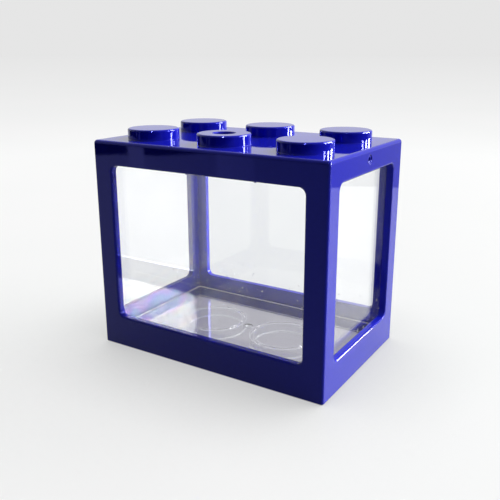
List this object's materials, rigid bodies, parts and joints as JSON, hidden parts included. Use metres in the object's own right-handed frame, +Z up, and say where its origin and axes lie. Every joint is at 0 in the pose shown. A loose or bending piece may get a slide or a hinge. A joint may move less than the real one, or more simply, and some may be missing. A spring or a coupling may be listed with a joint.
{
  "type": "mini betta aquarium",
  "caption": "Small clear fish tank under a brick-shaped cover frame with a big window in each side, round stacking studs on top and a feed hole.",
  "frame": {"origin": "centre of the footprint, on the surface the aquarium stands on", "axes": "+X along the long side to the right, -Y out of the front, the side with the feed hole, +Z up"},
  "size_m": [0.1208, 0.0786, 0.1059],
  "materials": {
    "blue_plastic": "gloss, opaque, moulded",
    "clear_plastic": "gloss, clear, moulded"
  },
  "bodies": {
    "tank": {"tank": "clear_plastic"},
    "cover": {"cover_frame": "blue_plastic"}
  },
  "joints": [
    {"name": "cover_lift", "type": "slide", "parent": "tank", "child": "cover", "axis": [0, 0, 1], "range_m": [0, 0.11]}
  ]
}
